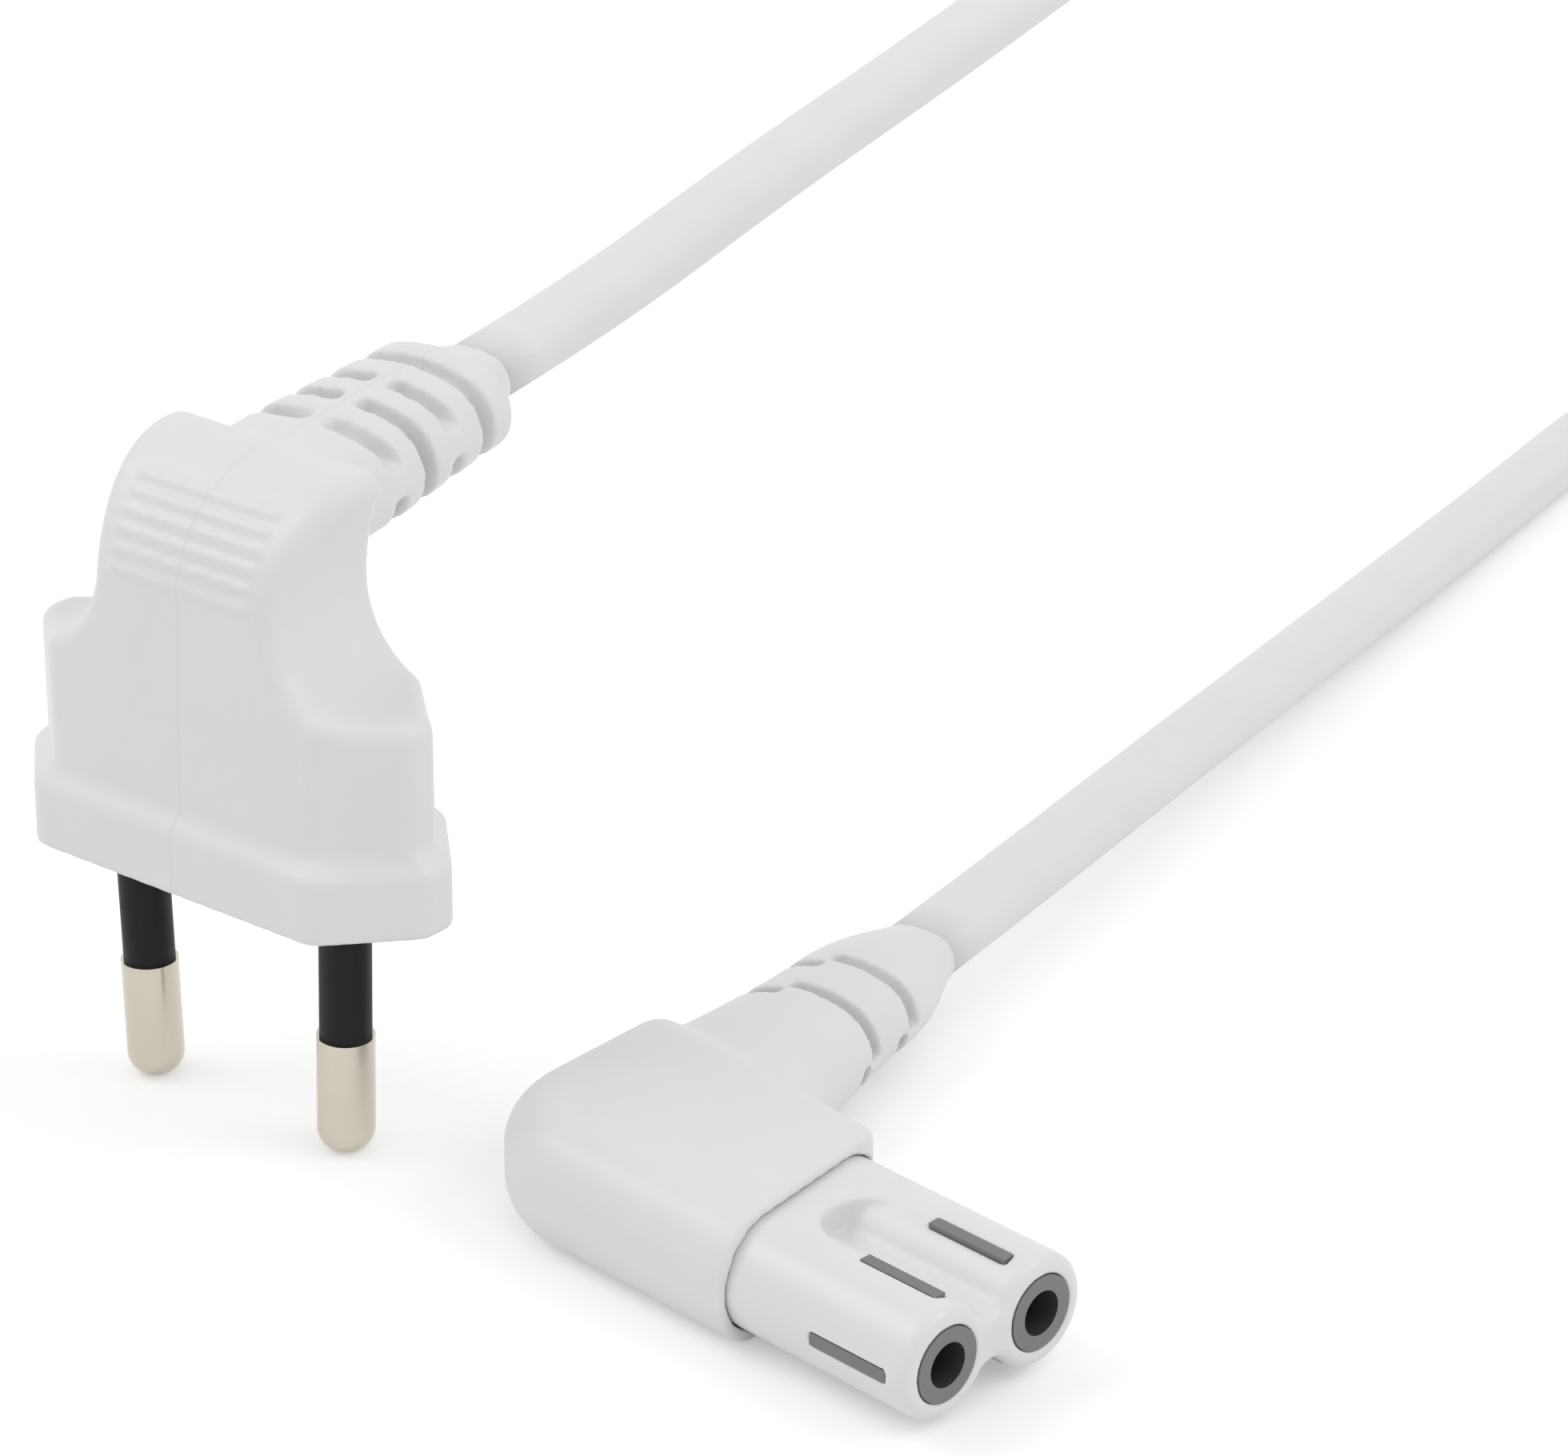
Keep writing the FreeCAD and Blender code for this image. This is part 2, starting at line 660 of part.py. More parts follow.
gap_sketch = outline("step_gap_outline", SIDE,
                     stadium(f"({TIP} + step_gap)", "(barrel_radius + step_gap)"),
                     (-value("step_gap_back"), 0, 0))
nose_sketch = outline("nose_pocket_outline", SIDE,
                      stadium(f"({TIP} + slip)", "(barrel_radius + slip)"),
                      (value(f"{NOSE_BACK} - slip"), 0, 0))
base_pocket = outline("base_pocket_outline", SIDE,
                      stadium("(base_half + slip)", "(base_high + slip)"),
                      (value(f"{BASE_BACK} - slip"), 0, 0))
connector = cut_all("connector_overmould", overmould, [
    relief_slots, extruded("step_gap_pocket", gap_sketch, "nose_length"),
    extruded("nose_pocket", nose_sketch, "nose_length"),
    extruded("base_pocket", base_pocket, "base_length * 2")] + passages)


# The plug's moulding: a housing with a finger scoop each side and a head like a T, a flange
# with a bevel, and a slotted strain relief that leaves over the back.
WING = "(flange_half_length - bevel_inset)"
WING_HIGH = (f"(neck_level - sqrt(scoop_radius^2 - (neck_half + scoop_radius - {WING})^2))")
FLARE = ("(((head_half - neck_half)^2 + (head_lip - neck_level)^2)"
         " / (2 * (head_half - neck_half)))")


def lozenge(name, length, front, depth, end):
    """Draws the plug's outline from above: straight sides and blunt ends."""
    return outline(name, FLOOR, [
        (front, f"-{depth}"), (length, f"-{end}"), (length, end), (front, depth),
        (f"-{front}", depth), (f"-{length}", end), (f"-{length}", f"-{end}"),
        (f"-{front}", f"-{depth}")])


front = outline("plug_front", FRONT, [
    (WING, "bevel_high"), (WING, WING_HIGH, "-scoop_radius"),
    ("neck_half", "neck_level", f"-{FLARE}"), ("head_half", "head_lip"),
    ("-head_half", "head_lip", f"-{FLARE}"), ("-neck_half", "neck_level", "-scoop_radius"),
    (f"-{WING}", WING_HIGH), (f"-{WING}", "bevel_high")])
profile = outline("plug_profile", SIDE, [
    ("-front_low", "bevel_high"), ("back_depth", "bevel_high"), ("back_depth", "head_top"),
    ("crown_front", "head_top", "crown_radius"),
    ("-front_high", "neck_level", "front_bow")])
housing = shared("plug_housing", [
    extruded("plug_front_block", front, "flange_half_depth * 2", True),
    extruded("plug_profile_block", profile, "flange_half_length * 2", True),
    extruded("plug_plan_block", lozenge("plug_plan", WING, "wing_front", "side_depth",
                                        "wing_end"), "head_top + overcut")])


def on_end(edge):
    """Tells an upright edge at the ends of the plug's outline."""
    return abs(edge.BoundBox.Center.x) > value("wing_front") - 1 and near(
        edge.BoundBox.YLength, 0, 0.4) and edge.BoundBox.ZLength > value("flange_wall")


housing = rounded("plug_wings", housing, "wing_edge", on_end)
housing = rounded("plug_rims", housing, "head_edge", lambda edge: creased(housing.Shape, edge)
                  and edge.BoundBox.ZMin > value("neck_level") / 2)
flange = extruded("flange_block", lozenge("flange_plan", "flange_half_length", "flange_front",
                                          "flange_half_depth", "flange_end"),
                  "flange_wall + bevel_high")
flange = rounded("flange_corners", flange, "flange_round",
                 lambda edge: near(edge.BoundBox.ZLength, value("flange_wall + bevel_high")))
doc.recompute()
bevel = doc.addObject("Part::Chamfer", "flange_bevel")
bevel.Base = flange
bevel.Edges = [(index, value("bevel_high"), value("bevel_high"))
               for index, edge in enumerate(flange.Shape.Edges, 1)
               if near(edge.BoundBox.ZMin, value("flange_wall + bevel_high"))]

BARREL = Placement(Vector(0, 0, value("barrel_axis")),
                   Rotation(Vector(1, 0, 0), value("barrel_rise")))


def barrel_oval(index, reach, half, high):
    """Draws an oval across the relief's axis, a reach along it."""
    sketch = outline(f"barrel_oval_{index}", FRONT, oval(half, high))
    sketch.Placement = BARREL.multiply(Placement(Vector(0, value(reach), 0), FRONT))
    return sketch


barrel = doc.addObject("Part::Loft", "barrel")
barrel.Sections = [
    barrel_oval(0, "barrel_start", "barrel_half", "barrel_high"),
    barrel_oval(1, "rib_slot_first", "barrel_half", "barrel_high"),
    barrel_oval(2, "barrel_end", "barrel_end_half", "barrel_end_high"),
    barrel_oval(3, "collar_start", "barrel_end_half", "barrel_end_high"),
    barrel_oval(4, "collar_end", "collar_half", "collar_high"),
    barrel_oval(5, "flare_middle", "flare_half", "flare_high"),
    barrel_oval(6, "flare_end", "cord_width / 2 + relief_skin",
                "cord_height / 2 + relief_skin")]
barrel.Ruled = True
barrel.Solid = True
moulding = joined("plug_moulding", [housing, bevel, barrel])


PLUG_FAR = "slot_far * 2"
barrel_core = outline("barrel_core", FRONT, oval("rib_core_half", "rib_core_high"))
barrel_core.Placement = BARREL.multiply(barrel_core.Placement)
bridged = [("rib_spine", PLUG_FAR, "rib_bridge_high", PLUG_FAR),
           ("rib_spine", PLUG_FAR, f"-{PLUG_FAR}", "-rib_bridge_low"),
           (f"-{PLUG_FAR}", "-rib_spine", "rib_bridge_high", PLUG_FAR),
           (f"-{PLUG_FAR}", "-rib_spine", f"-{PLUG_FAR}", "-rib_bridge_low")]
halved = [("rib_spine", PLUG_FAR, f"-{PLUG_FAR}", PLUG_FAR),
          (f"-{PLUG_FAR}", "-rib_spine", f"-{PLUG_FAR}", PLUG_FAR)]
whole = [(f"-{PLUG_FAR}", PLUG_FAR, f"-{PLUG_FAR}", PLUG_FAR)]
barrel_slots = slots("barrel_slots", BARREL, barrel_core, "rib_slot_width", [
    ("rib_slot_first", bridged), ("(rib_slot_first + rib_slot_pitch)", halved),
    ("(rib_slot_first + rib_slot_pitch * 2)", bridged), ("rib_ring", whole)])

# Grip ribs lie across the crown of the head, evenly round its curve.
crown_ends = [Vector(0, value("crown_front"), value("head_top")),
              Vector(0, -value("front_high"), value("neck_level"))]
chord = crown_ends[1] - crown_ends[0]
inwards = chord.cross(Vector(1, 0, 0)).normalize()
crown_centre = (crown_ends[0] + crown_ends[1]) * 0.5 - inwards * math.sqrt(
    value("crown_radius") ** 2 - (chord.Length / 2) ** 2)
grip = []
for index in range(GRIP_RIBS):
    turn = value("(grip_first + grip_rib_pitch * %d) / crown_radius" % index)
    arm = Rotation(Vector(1, 0, 0), -math.degrees(turn)).multVec(crown_ends[1] - crown_centre)
    bar = rod(f"grip_rib_{index}", ("-grip_rib_length / 2", "0", "0"), SIDE,
              "grip_rib_radius", "grip_rib_length")
    bar.Placement.Base += crown_centre + arm
    grip.append(bar)

# Pins lean towards each other. Each has a collar inside the bridge and a crimped tail.
PIN_LEAN = math.degrees(math.atan(value("(pin_pitch - pin_tip_pitch) / 2 / pin_length")))
pin_places = [Placement(Vector(side * value("pin_pitch / 2"), 0, 0),
                        Rotation(Vector(0, 1, 0), side * PIN_LEAN)) for side in (-1, 1)]
SHOULDER = "(pin_metal - pin_length)"


def pin_half(name, corners):
    """Turns a pin, a sleeve or a tool from the corners of its half section."""
    return turned(name, outline(f"{name}_profile", FRONT, corners), Vector(0, 0, 1))


def stepped(grow, low, top):
    """Corners of the pin's shank inside the plug, larger all over by a clearance."""
    return [("0", low), (f"(pin_neck + {grow})", low),
            (f"(pin_neck + {grow})", f"(pin_collar_low - {grow})"),
            (f"(pin_collar + {grow})", f"(pin_collar_low - {grow})"),
            (f"(pin_collar + {grow})", f"(pin_collar_low + pin_collar_thick + {grow})"),
            (f"(pin_neck + {grow})", f"(pin_collar_low + pin_collar_thick + {grow})"),
            (f"(pin_neck + {grow})", top)]


pins, sleeves, pin_tools, sleeve_tools = [], [], [], []
for place, label in zip(pin_places, ("left", "right")):
    shank = stepped("0", SHOULDER, "pin_tail")
    pin = pin_half(f"plug_pin_{label}", [
        ("0", "-pin_length"), ("pin_tip_radius", "-pin_length", "pin_tip_round"),
        ("pin_radius", "pin_tip_taper - pin_length"), ("pin_radius", SHOULDER)]
        + shank[1:] + [("(conductor_radius + slip)", "pin_tail"),
                       ("(conductor_radius + slip)", "pin_tail - crimp_length / 2"),
                       ("0", "pin_tail - crimp_length / 2")])
    sleeve = pin_half(f"pin_sleeve_{label}", [
        ("(pin_neck + slip)", SHOULDER), ("sleeve_radius", SHOULDER),
        ("sleeve_radius", "sleeve_root"), ("(pin_neck + slip)", "sleeve_root")])
    pin_tool = pin_half(f"pin_tool_{label}",
                        stepped("slip", "-overcut", "pin_tail + slip") + [("0", "pin_tail + slip")])
    sleeve_tool = pin_half(f"sleeve_tool_{label}", [
        ("0", "-overcut"), ("(sleeve_radius + slip)", "-overcut"),
        ("(sleeve_radius + slip)", "sleeve_root + slip"), ("0", "sleeve_root + slip")])
    for thing in (pin, sleeve, pin_tool, sleeve_tool):
        thing.Placement = place
    pins.append(pin)
    sleeves.append(sleeve)
    pin_tools.append(pin_tool)
    sleeve_tools.append(sleeve_tool)

bridge_block = box("bridge_block", ("-bridge_half", "-bridge_depth", "bridge_low"),
                   ("bridge_half * 2", "bridge_depth * 2", "bridge_thick"))
bridge_room = box("bridge_room", ("-bridge_half - slip", "-bridge_depth - slip",
                                  "bridge_low - slip"),
                  ("bridge_half * 2 + slip * 2", "bridge_depth * 2 + slip * 2",
                   "bridge_thick + slip * 2"))
bridge = cut_all("plug_inner_bridge", bridge_block, pin_tools)

# Cores and conductors run from the cord through the relief, spread in the neck and end in the
# tails of the pins.
BARREL_END = BARREL.multVec(Vector(0, value("flare_end"), 0))
barrel_along = BARREL.Rotation.multVec(Vector(0, 1, 0))
plug_cores, plug_wires, plug_passages = [], [], []
for side, place, label in zip((-1, 1), pin_places, ("left", "right")):
    route = [BARREL_END + Vector(side * value("core_pitch / 2"), 0, 0),
             BARREL.multVec(Vector(side * value("core_pitch / 2"), value("core_turn"), 0)),
             Vector(side * value("core_spread"), value("core_back"), value("core_level")),
             place.multVec(Vector(0, 0, value("pin_tail + core_drop"))),
             place.multVec(Vector(0, 0, value("pin_tail + slip")))]
    core, wire, passage = insulated(f"plug_core_{label}", route, tail=value("crimp_length / 2"))
    plug_cores.append(core)
    plug_wires.append(wire)
    plug_passages.append(passage)

plug = cut_all("plug_overmould", joined("plug_body", [moulding] + grip),
               [barrel_slots, bridge_room] + sleeve_tools + pin_tools + plug_passages)


# Every node is moved into the shared frame: the connector's box stands on the origin, and the
# plug stands on its pin tips behind it.
connector_nodes = [connector, nose_shell, insert] + contacts + cores + wires
plug_nodes = [plug, bridge] + pins + sleeves + plug_cores + plug_wires
doc.recompute()
boxes = [thing.Shape.optimalBoundingBox(False) for thing in (connector, nose_shell)]
shift = Vector(-(min(b.XMin for b in boxes) + max(b.XMax for b in boxes)) / 2,
               -(min(b.YMin for b in boxes) + max(b.YMax for b in boxes)) / 2,
               value("body_half_height"))
print("moved by", shift)
stand = Placement(Vector(value("plug_x"), value("plug_y"), 0) + Vector(shift.x, shift.y, 0),
                  Rotation(Vector(0, 0, 1), value("plug_yaw")).multiply(
                      Rotation(Vector(1, 0, 0), -value("plug_lean"))))
stand = stand.multiply(Placement(Vector(0, 0, value("pin_length")), Rotation()))
lowest = min(pin.Shape.transformed(stand.toMatrix()).optimalBoundingBox(False).ZMin
             for pin in pins)
stand.Base.z -= lowest
for thing in connector_nodes:
    thing.Placement = Placement(shift, Rotation()).multiply(thing.Placement)
for thing in plug_nodes:
    thing.Placement = stand.multiply(thing.Placement)

# The cord runs from the connector out along the surface, and from the plug down to it, into
# one flat coil that the cord's remaining length is wound in. Heights are above the surface.
LENGTH = 1800
FLOOR_ROUTE = [(-26.4, 57.9, 4.05), (-36.6, 98.1, 2.55), (-42.1, 120.0, 1.9),
               (-46.6, 138.5, 1.9), (-47.8, 154.0, 1.9), (-43.0, 168.0, 1.9),
               (-32.3, 178.2, 1.9)]
HIGH_ROUTE = [(-48.2, 36.0, 50.8), (-50.9, 57.8, 54.2), (-56.0, 86.0, 58.0),
              (-61.0, 110.0, 58.5), (-66.0, 131.0, 53.0), (-70.0, 150.0, 42.5),
              (-72.5, 168.0, 30.0), (-74.0, 183.0, 18.5), (-74.3, 196.0, 13.6),
              (-74.9, 207.0, 13.1)]
COIL_CENTRE = Vector(-38, 214, 0)
TIE_TURN = 40


def cord_section():
    """Makes the cord's flat section with its two round edges."""
    flat, high = value("(cord_width - cord_height) / 2"), value("cord_height / 2")
    right, left = Vector(flat, 0, 0), Vector(-flat, 0, 0)
    up, out = Vector(0, high, 0), Vector(high, 0, 0)
    return Part.Wire([Part.LineSegment(left - up, right - up).toShape(),
                      Part.Arc(right - up, right + out, right + up).toShape(),
                      Part.LineSegment(right + up, left + up).toShape(),
                      Part.Arc(left + up, left - out, left - up).toShape()])


def cord_tube(name, start, along, route, coil):
    """Makes one free stretch of the cord: straight out of its relief, along the route's points
    and up to the coil."""
    points = [start, start + along * value("cord_lead")] + [Vector(*point) for point in route]
    tube, length, radii = swept(f"{name}_run", points, cord_section())
    area = Part.Face(cord_section()).Area
    print(name, "length", round(length, 1), "volume over section times length",
          round(tube.Shape.Volume / area / length, 4), "radii", [round(r) for r in radii])
    return cut(name, tube, coil), length


ring = outline("coil_section", FRONT, [
    ("coil_middle - coil_wide / 2", "0"), ("coil_middle + coil_wide / 2", "0"),
    ("coil_middle + coil_wide / 2", "coil_high"), ("coil_middle - coil_wide / 2", "coil_high")])
ring = rounded("coil_rounded", turned("coil_turned", ring, Vector(0, 0, 1)), "coil_edge",
               lambda edge: True)
tie_place = Placement(Vector(), Rotation(Vector(0, 0, 1), TIE_TURN))
tie_outside = box("tie_outside", ("coil_middle - coil_wide / 2 - overcut", "-tie_wide / 2",
                                  "-overcut"),
                  ("coil_wide + overcut * 2", "tie_wide", "coil_high + overcut * 2"), tie_place)
tie_inside = box("tie_inside", ("coil_middle - coil_wide / 2 + tie_thick",
                                "-tie_wide / 2 - overcut", "tie_thick"),
                 ("coil_wide - tie_thick * 2", "tie_wide + overcut * 2", "coil_high - tie_thick * 2"),
                 tie_place)
band = cut("tie_band", tie_outside, tie_inside)
tie = shared("cord_tie", [band, ring])
coil = cut("cord_coil", ring, band)
for thing in (coil, tie):
    thing.Placement.Base = COIL_CENTRE
doc.recompute()
tube_a, length_a = cord_tube("cord_from_connector", RELIEF_END + shift, ALONG, FLOOR_ROUTE, coil)
tube_b, length_b = cord_tube("cord_from_plug", stand.multVec(BARREL_END),
                             stand.Rotation.multVec(barrel_along), HIGH_ROUTE, coil)
turns = (LENGTH - length_a - length_b) / (2 * math.pi * value("coil_middle"))
print("turns in the coil", round(turns, 2))
cord_nodes = [tube_a, tube_b, coil, tie]

doc.recompute()
for thing in doc.Objects:
    if "Invalid" in thing.State or "Error" in thing.State:
        raise RuntimeError(f"{thing.Name} is in state {thing.State}")
    if hasattr(thing, "Shape") and (thing.Shape.isNull() or not thing.Shape.isValid()):
        raise RuntimeError(f"{thing.Name} has no sound shape")
for thing in connector_nodes + plug_nodes + cord_nodes:
    b = thing.Shape.optimalBoundingBox(False)
    print(f"{thing.Name:26s} {len(thing.Shape.Solids)} solid {thing.Shape.Volume:9.1f} mm3",
          [round(v, 2) for v in (b.XMin, b.XMax, b.YMin, b.YMax, b.ZMin, b.ZMax)])
    thing.Label = thing.Name
    thing.Shape.exportStep(f"parts/{thing.Label}.step")
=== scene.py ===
# %% [markdown]
# # A figure eight power connector and its lead
# The lead has an angled figure eight connector at one end and an angled flat plug at the
# other. The solids of both ends come from the CAD frame, already at their real size. This
# script gives them their finish, lays the cord, and sets the camera, the light and the floor.
#
# Blender works in metres. Sizes of the object are written in millimetres here, times MM.

# %% Load the frame
import json

import bpy
import numpy as np
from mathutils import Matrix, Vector


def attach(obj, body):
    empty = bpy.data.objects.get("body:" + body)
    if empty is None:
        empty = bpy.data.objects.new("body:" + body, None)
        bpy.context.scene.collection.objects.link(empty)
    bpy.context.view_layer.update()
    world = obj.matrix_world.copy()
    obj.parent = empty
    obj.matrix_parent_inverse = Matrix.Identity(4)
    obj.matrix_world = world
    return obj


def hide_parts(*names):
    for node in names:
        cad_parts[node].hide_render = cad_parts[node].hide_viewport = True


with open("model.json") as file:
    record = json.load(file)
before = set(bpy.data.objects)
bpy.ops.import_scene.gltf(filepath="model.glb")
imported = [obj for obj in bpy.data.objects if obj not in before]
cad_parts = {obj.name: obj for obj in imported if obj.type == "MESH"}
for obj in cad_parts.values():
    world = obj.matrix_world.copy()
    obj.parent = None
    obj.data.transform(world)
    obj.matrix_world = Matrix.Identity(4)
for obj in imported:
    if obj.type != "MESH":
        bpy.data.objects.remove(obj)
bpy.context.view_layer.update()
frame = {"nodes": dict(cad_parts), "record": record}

scene = bpy.context.scene
MM = 0.001
print("nodes in the frame:", len(frame["nodes"]))

# %% [markdown]
# ## Camera
# The photograph was taken with a long lens from the right and above. One pinhole camera was
# fitted to the plug's pins and the connector's nose, so both ends stand where they do there.

# %% Camera
CAMERA_AT = (225.58, -238.39, 194.02)
CAMERA_TO = (-27.60, 17.50, 20.0)
LENS = 130.87
SENSOR = 36
NEAREST = 10


def as_object(name, data):
    """Puts a mesh, curve, camera or light in the scene as an object of its own."""
    made = bpy.data.objects.new(name, data)
    scene.collection.objects.link(made)
    return made


def aim(place, target):
    """The turn that makes a camera or a lamp at a place look at a target."""
    return (Vector(target) - Vector(place)).to_track_quat("-Z", "Y").to_euler()


camera = as_object("camera", bpy.data.cameras.new("camera"))
camera.location = Vector(CAMERA_AT) * MM
camera.rotation_euler = aim(CAMERA_AT, CAMERA_TO)
camera.data.lens = LENS
camera.data.sensor_width = SENSOR
camera.data.clip_start = NEAREST * MM
scene.camera = camera
print("camera is", round((Vector(CAMERA_AT) - Vector(CAMERA_TO)).length), "mm from its target")

# %% [markdown]
# ## Materials
# Both mouldings are soft white vinyl: a mould with a fine spark eroded skin leaves a grain far
# finer than a millimetre, and the sheen stays soft. A material is a small node tree. Noise in
# object coordinates gives the grain a real scale, whatever piece it is put on.

# %% Material helpers


def noise(tree, grain, detail=2.0):
    """Noise whose blotches are about a grain, in millimetres, across."""
    place = tree.nodes.new("ShaderNodeTexCoord")
    texture = tree.nodes.new("ShaderNodeTexNoise")
    texture.inputs["Scale"].default_value = 1 / (grain * MM)
    texture.inputs["Detail"].default_value = detail
    tree.links.new(place.outputs["Object"], texture.inputs["Vector"])
    return texture.outputs["Fac"]


def between(tree, factor, low, high):
    """Spreads a factor of 0 to 1 over the range from low to high."""
    spread = tree.nodes.new("ShaderNodeMapRange")
    spread.inputs["To Min"].default_value = low
    spread.inputs["To Max"].default_value = high
    spread.clamp = False
    tree.links.new(factor, spread.inputs["Value"])
    return spread.outputs["Result"]


def seam_height(tree, normal, offset, width):
    """Height of a seam: 1 in the plane where normal . place = offset, and down to 0 at a
    width from it, in millimetres."""
    place = tree.nodes.new("ShaderNodeTexCoord")
    dot = tree.nodes.new("ShaderNodeVectorMath")
    dot.operation = "DOT_PRODUCT"
    dot.inputs[1].default_value = normal
    tree.links.new(place.outputs["Object"], dot.inputs[0])
    level = dot.outputs["Value"]
    for operation, value in (("SUBTRACT", offset * MM), ("ABSOLUTE", 0),
                             ("DIVIDE", width * MM)):
        step = tree.nodes.new("ShaderNodeMath")
        step.operation = operation
        step.inputs[1].default_value = value
        tree.links.new(level, step.inputs[0])
        level = step.outputs["Value"]
    ridge = tree.nodes.new("ShaderNodeMapRange")
    ridge.interpolation_type = "SMOOTHSTEP"
    ridge.inputs["To Min"].default_value = 1
    ridge.inputs["To Max"].default_value = 0
    tree.links.new(level, ridge.inputs["Value"])
    return ridge.outputs["Result"]


def material(name, colour, roughness, grain=0.25, relief=0.004, patch=6.0, shade=0.03,
             seam=None, **more):
    """Makes a finish: a colour that varies a little over patches, a roughness range, and a
    grain that stands out by a relief. A seam is a normal, an offset, a width and a relief of
    its own. Sizes are in millimetres. More names further inputs of the shader."""
    made = bpy.data.materials.new(name)
    made.use_nodes = True
    tree = made.node_tree
    shader = tree.nodes["Principled BSDF"]
    for socket, value in more.items():
        shader.inputs[socket.replace("_", " ")].default_value = value
    patches = noise(tree, patch)
    tint = tree.nodes.new("ShaderNodeMix")
    tint.data_type = "RGBA"
    tint.inputs["A"].default_value = (*[c * (1 - shade) for c in colour], 1)
    tint.inputs["B"].default_value = (*[min(c * (1 + shade), 1) for c in colour], 1)
    tree.links.new(patches, tint.inputs["Factor"])
    tree.links.new(tint.outputs["Result"], shader.inputs["Base Color"])
    tree.links.new(between(tree, patches, *roughness), shader.inputs["Roughness"])
    bump = tree.nodes.new("ShaderNodeBump")
    bump.inputs["Distance"].default_value = relief * MM
    tree.links.new(noise(tree, grain), bump.inputs["Height"])
    if seam:
        *plane, rise = seam
        ridge = tree.nodes.new("ShaderNodeBump")
        ridge.inputs["Distance"].default_value = rise * MM
        tree.links.new(seam_height(tree, *plane), ridge.inputs["Height"])
        tree.links.new(ridge.outputs["Normal"], bump.inputs["Normal"])
    tree.links.new(bump.outputs["Normal"], shader.inputs["Normal"])
    return made


# %% Materials
WHITE = (0.79, 0.79, 0.785)
VINYL = {"colour": WHITE, "roughness": (0.36, 0.46), "IOR": 1.5}
# The plug's mould parts in its middle plane, which leaves a fine ridge over its whole body:
# the plane's normal and offset, and the ridge's half width and height.
PLUG_SEAM = ((0.99211, 0.12533, 0.0), -43.033, 0.16, 0.035)
finishes = {
    "white_plastic": material("white_vinyl", **VINYL),
    "nose_plastic": material("nose_plastic", (0.80, 0.80, 0.80), (0.28, 0.36), relief=0.002),
    "grey_insert": material("grey_insulator", (0.19, 0.19, 0.195), (0.42, 0.52)),
    # Painted shade: a near black grey for the sockets' walls, in place of the shade deep in the
    # sockets.
    "painted_socket_shade": material("painted_socket_shade", (0.05, 0.05, 0.05), (0.5, 0.6)),
    # Painted shade: the contacts sit deep in the sockets, so their metal is given a near black
    # colour, far darker than bright tinned brass.
    "contact_metal": material("tinned_brass_painted_shade", (0.06, 0.05, 0.042), (0.45, 0.55), Metallic=1.0),
    "brown_insulation": material("brown_insulation", (0.15, 0.06, 0.03), (0.4, 0.5)),
    "blue_insulation": material("blue_insulation", (0.04, 0.12, 0.38), (0.4, 0.5)),
    "copper": material("copper", (0.80, 0.42, 0.26), (0.25, 0.4), Metallic=1.0),
    "bridge_plastic": material("bridge_plastic", (0.6, 0.6, 0.58), (0.4, 0.5)),
    "pin_metal": material("nickel_plate", (0.62, 0.57, 0.49), (0.16, 0.24), grain=0.6,
                          relief=0.001, shade=0.05, Metallic=1.0),
    "black_sleeve": material("black_sleeve", (0.010, 0.010, 0.011), (0.45, 0.55),
                             Specular_IOR_Level=0.2),
    "cord_jacket": material("cord_vinyl", WHITE, (0.34, 0.42), grain=0.4, relief=0.003),
    "tie_plastic": material("tie_film", (0.82, 0.82, 0.82), (0.3, 0.4), relief=0.002),
}
slots = {part["node"]: part["material_slot"] for part in frame["record"]["subparts"]}
for node, thing in frame["nodes"].items():
    thing.data.materials.clear()
    thing.data.materials.append(finishes[slots[node]])
print("finishes:", len(finishes))

# %% [markdown]
# ## Soft mouldings
# Vinyl never fills a sharp corner of its mould, so every edge of the mouldings is a little
# round. The CAD solids have crisp edges. A voxel remesh turns each into an even skin, and a few
# rounds of smoothing melt its edges, while slots and ribs keep their place and size. Where the
# real mouldings flow more, such as where a head runs into its strain relief, a vertex group
# lets further rounds work on that place alone.

# %% Soften the mouldings
SMOOTHING = 0.5
MELT_LEVELS = 8


def remeshed(mesh, voxel):
    """Makes a mesh again from even squares, a voxel in millimetres across."""
    carrier = as_object("carrier", mesh)
    remesh = carrier.modifiers.new("remesh", "REMESH")
    remesh.mode = "VOXEL"
    remesh.voxel_size = voxel * MM
    made = bpy.data.meshes.new_from_object(
        carrier.evaluated_get(bpy.context.evaluated_depsgraph_get()))
    bpy.data.objects.remove(carrier)
    made.shade_smooth()
    return made


def positions(mesh):
    """The places of a mesh's vertices in metres, as rows of an array."""
    flat = np.empty(len(mesh.vertices) * 3)
    mesh.vertices.foreach_get("co", flat)
    return flat.reshape(-1, 3)


def smoothed(skin, passes, group=None):
    """Adds a smoothing modifier with so many passes, over the whole skin or over a group."""
    smooth = skin.modifiers.new(group or "smooth", "SMOOTH")
    smooth.factor = SMOOTHING
    smooth.iterations = passes
    if group:
        smooth.vertex_group = group


def softened(node, voxel, passes, melts=()):
    """Makes a skin from a CAD node. A melt is a centre, a reach and passes of its own; its
    weight falls from 1 to 0 over the outer third of the reach, in even levels."""
    skin = as_object(f"{node}_skin", remeshed(frame["nodes"][node].data.copy(), voxel))
    smoothed(skin, passes)
    places = positions(skin.data) / MM
    for index, (centre, reach, rounds) in enumerate(melts):
        distance = np.linalg.norm(places - centre, axis=1)
        weight = np.clip((reach - distance) / (reach / 3), 0, 1)
        group = skin.vertex_groups.new(name=f"melt_{index}")
        for level in range(1, MELT_LEVELS + 1):
            chosen = np.flatnonzero(np.ceil(weight * MELT_LEVELS) == level)
            group.add(chosen.tolist(), level / MELT_LEVELS, "REPLACE")
        smoothed(skin, rounds, group.name)
    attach(skin, "root")
    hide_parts(node)
    return skin


